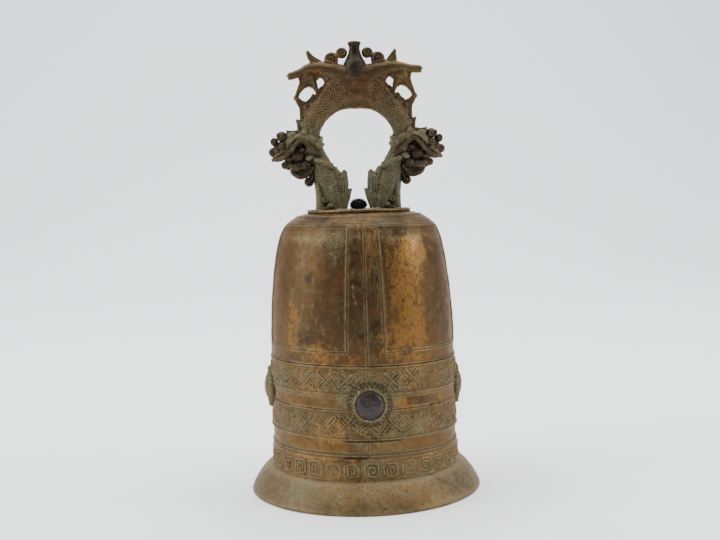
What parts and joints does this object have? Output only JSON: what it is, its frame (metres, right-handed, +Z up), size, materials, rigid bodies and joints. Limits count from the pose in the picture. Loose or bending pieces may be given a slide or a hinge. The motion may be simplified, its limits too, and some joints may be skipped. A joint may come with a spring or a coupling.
{
  "type": "temple bell",
  "caption": "Small bronze temple bell with a twin-dragon hanging loop, striking bosses, a flared mouth and a clapper that swings on a cord.",
  "frame": {"origin": "centre of the mouth rim's bottom plane", "axes": "+Z up along the bell's axis, +X along the dragon arch, -Y towards the front"},
  "size_m": [0.144, 0.144, 0.2776],
  "materials": {
    "aged_bronze": "aged cast bronze with brown and gold patina",
    "green_bronze": "cast bronze with grey-green patina",
    "dark_bronze": "dark brown rubbed bronze",
    "black_cord": "black twisted cord",
    "iron": "dark forged iron"
  },
  "bodies": {
    "bell": {"arch_saddle": "aged_bronze", "beard_curl_left": "dark_bronze", "beard_curl_right": "dark_bronze", "bell_body": "aged_bronze", "boss_rosette_back": "green_bronze", "boss_rosette_front": "green_bronze", "boss_rosette_left": "green_bronze", "boss_rosette_right": "green_bronze", "chin_curl_left": "dark_bronze", "chin_curl_right": "dark_bronze", "cloud_scroll_left": "aged_bronze", "cloud_scroll_right": "aged_bronze", "cord_knot": "black_cord", "crown_plate": "aged_bronze", "dragon_body_left": "green_bronze", "dragon_body_right": "green_bronze", "dragon_head_left": "green_bronze", "dragon_head_right": "green_bronze", "dragon_tail_left": "green_bronze", "dragon_tail_right": "green_bronze", "foreleg_left": "green_bronze", "foreleg_right": "green_bronze", "leg_brace_left": "green_bronze", "leg_brace_right": "green_bronze", "lower_jaw_left": "dark_bronze", "lower_jaw_right": "dark_bronze", "nose_curls_left": "dark_bronze", "nose_curls_right": "dark_bronze", "striking_boss_back": "dark_bronze", "striking_boss_front": "dark_bronze", "striking_boss_left": "dark_bronze", "striking_boss_right": "dark_bronze", "vase_finial": "aged_bronze"},
    "hitch": {"cord_hitch": "black_cord"},
    "cord": {"clapper_cord": "black_cord"},
    "clapper": {"clapper": "iron"}
  },
  "joints": [
    {"name": "clapper_swing_sideways", "type": "hinge", "parent": "bell", "child": "hitch", "pos_m": [0, 0, 0.163], "axis": [0, 1, 0], "range_deg": [-15, 15]},
    {"name": "clapper_swing_fore_aft", "type": "hinge", "parent": "hitch", "child": "cord", "pos_m": [0, 0, 0.163], "axis": [1, 0, 0], "range_deg": [-15, 15]},
    {"name": "clapper_tilt", "type": "hinge", "parent": "cord", "child": "clapper", "pos_m": [0, 0, 0.0825], "axis": [1, 0, 0], "range_deg": [-15, 15]}
  ]
}
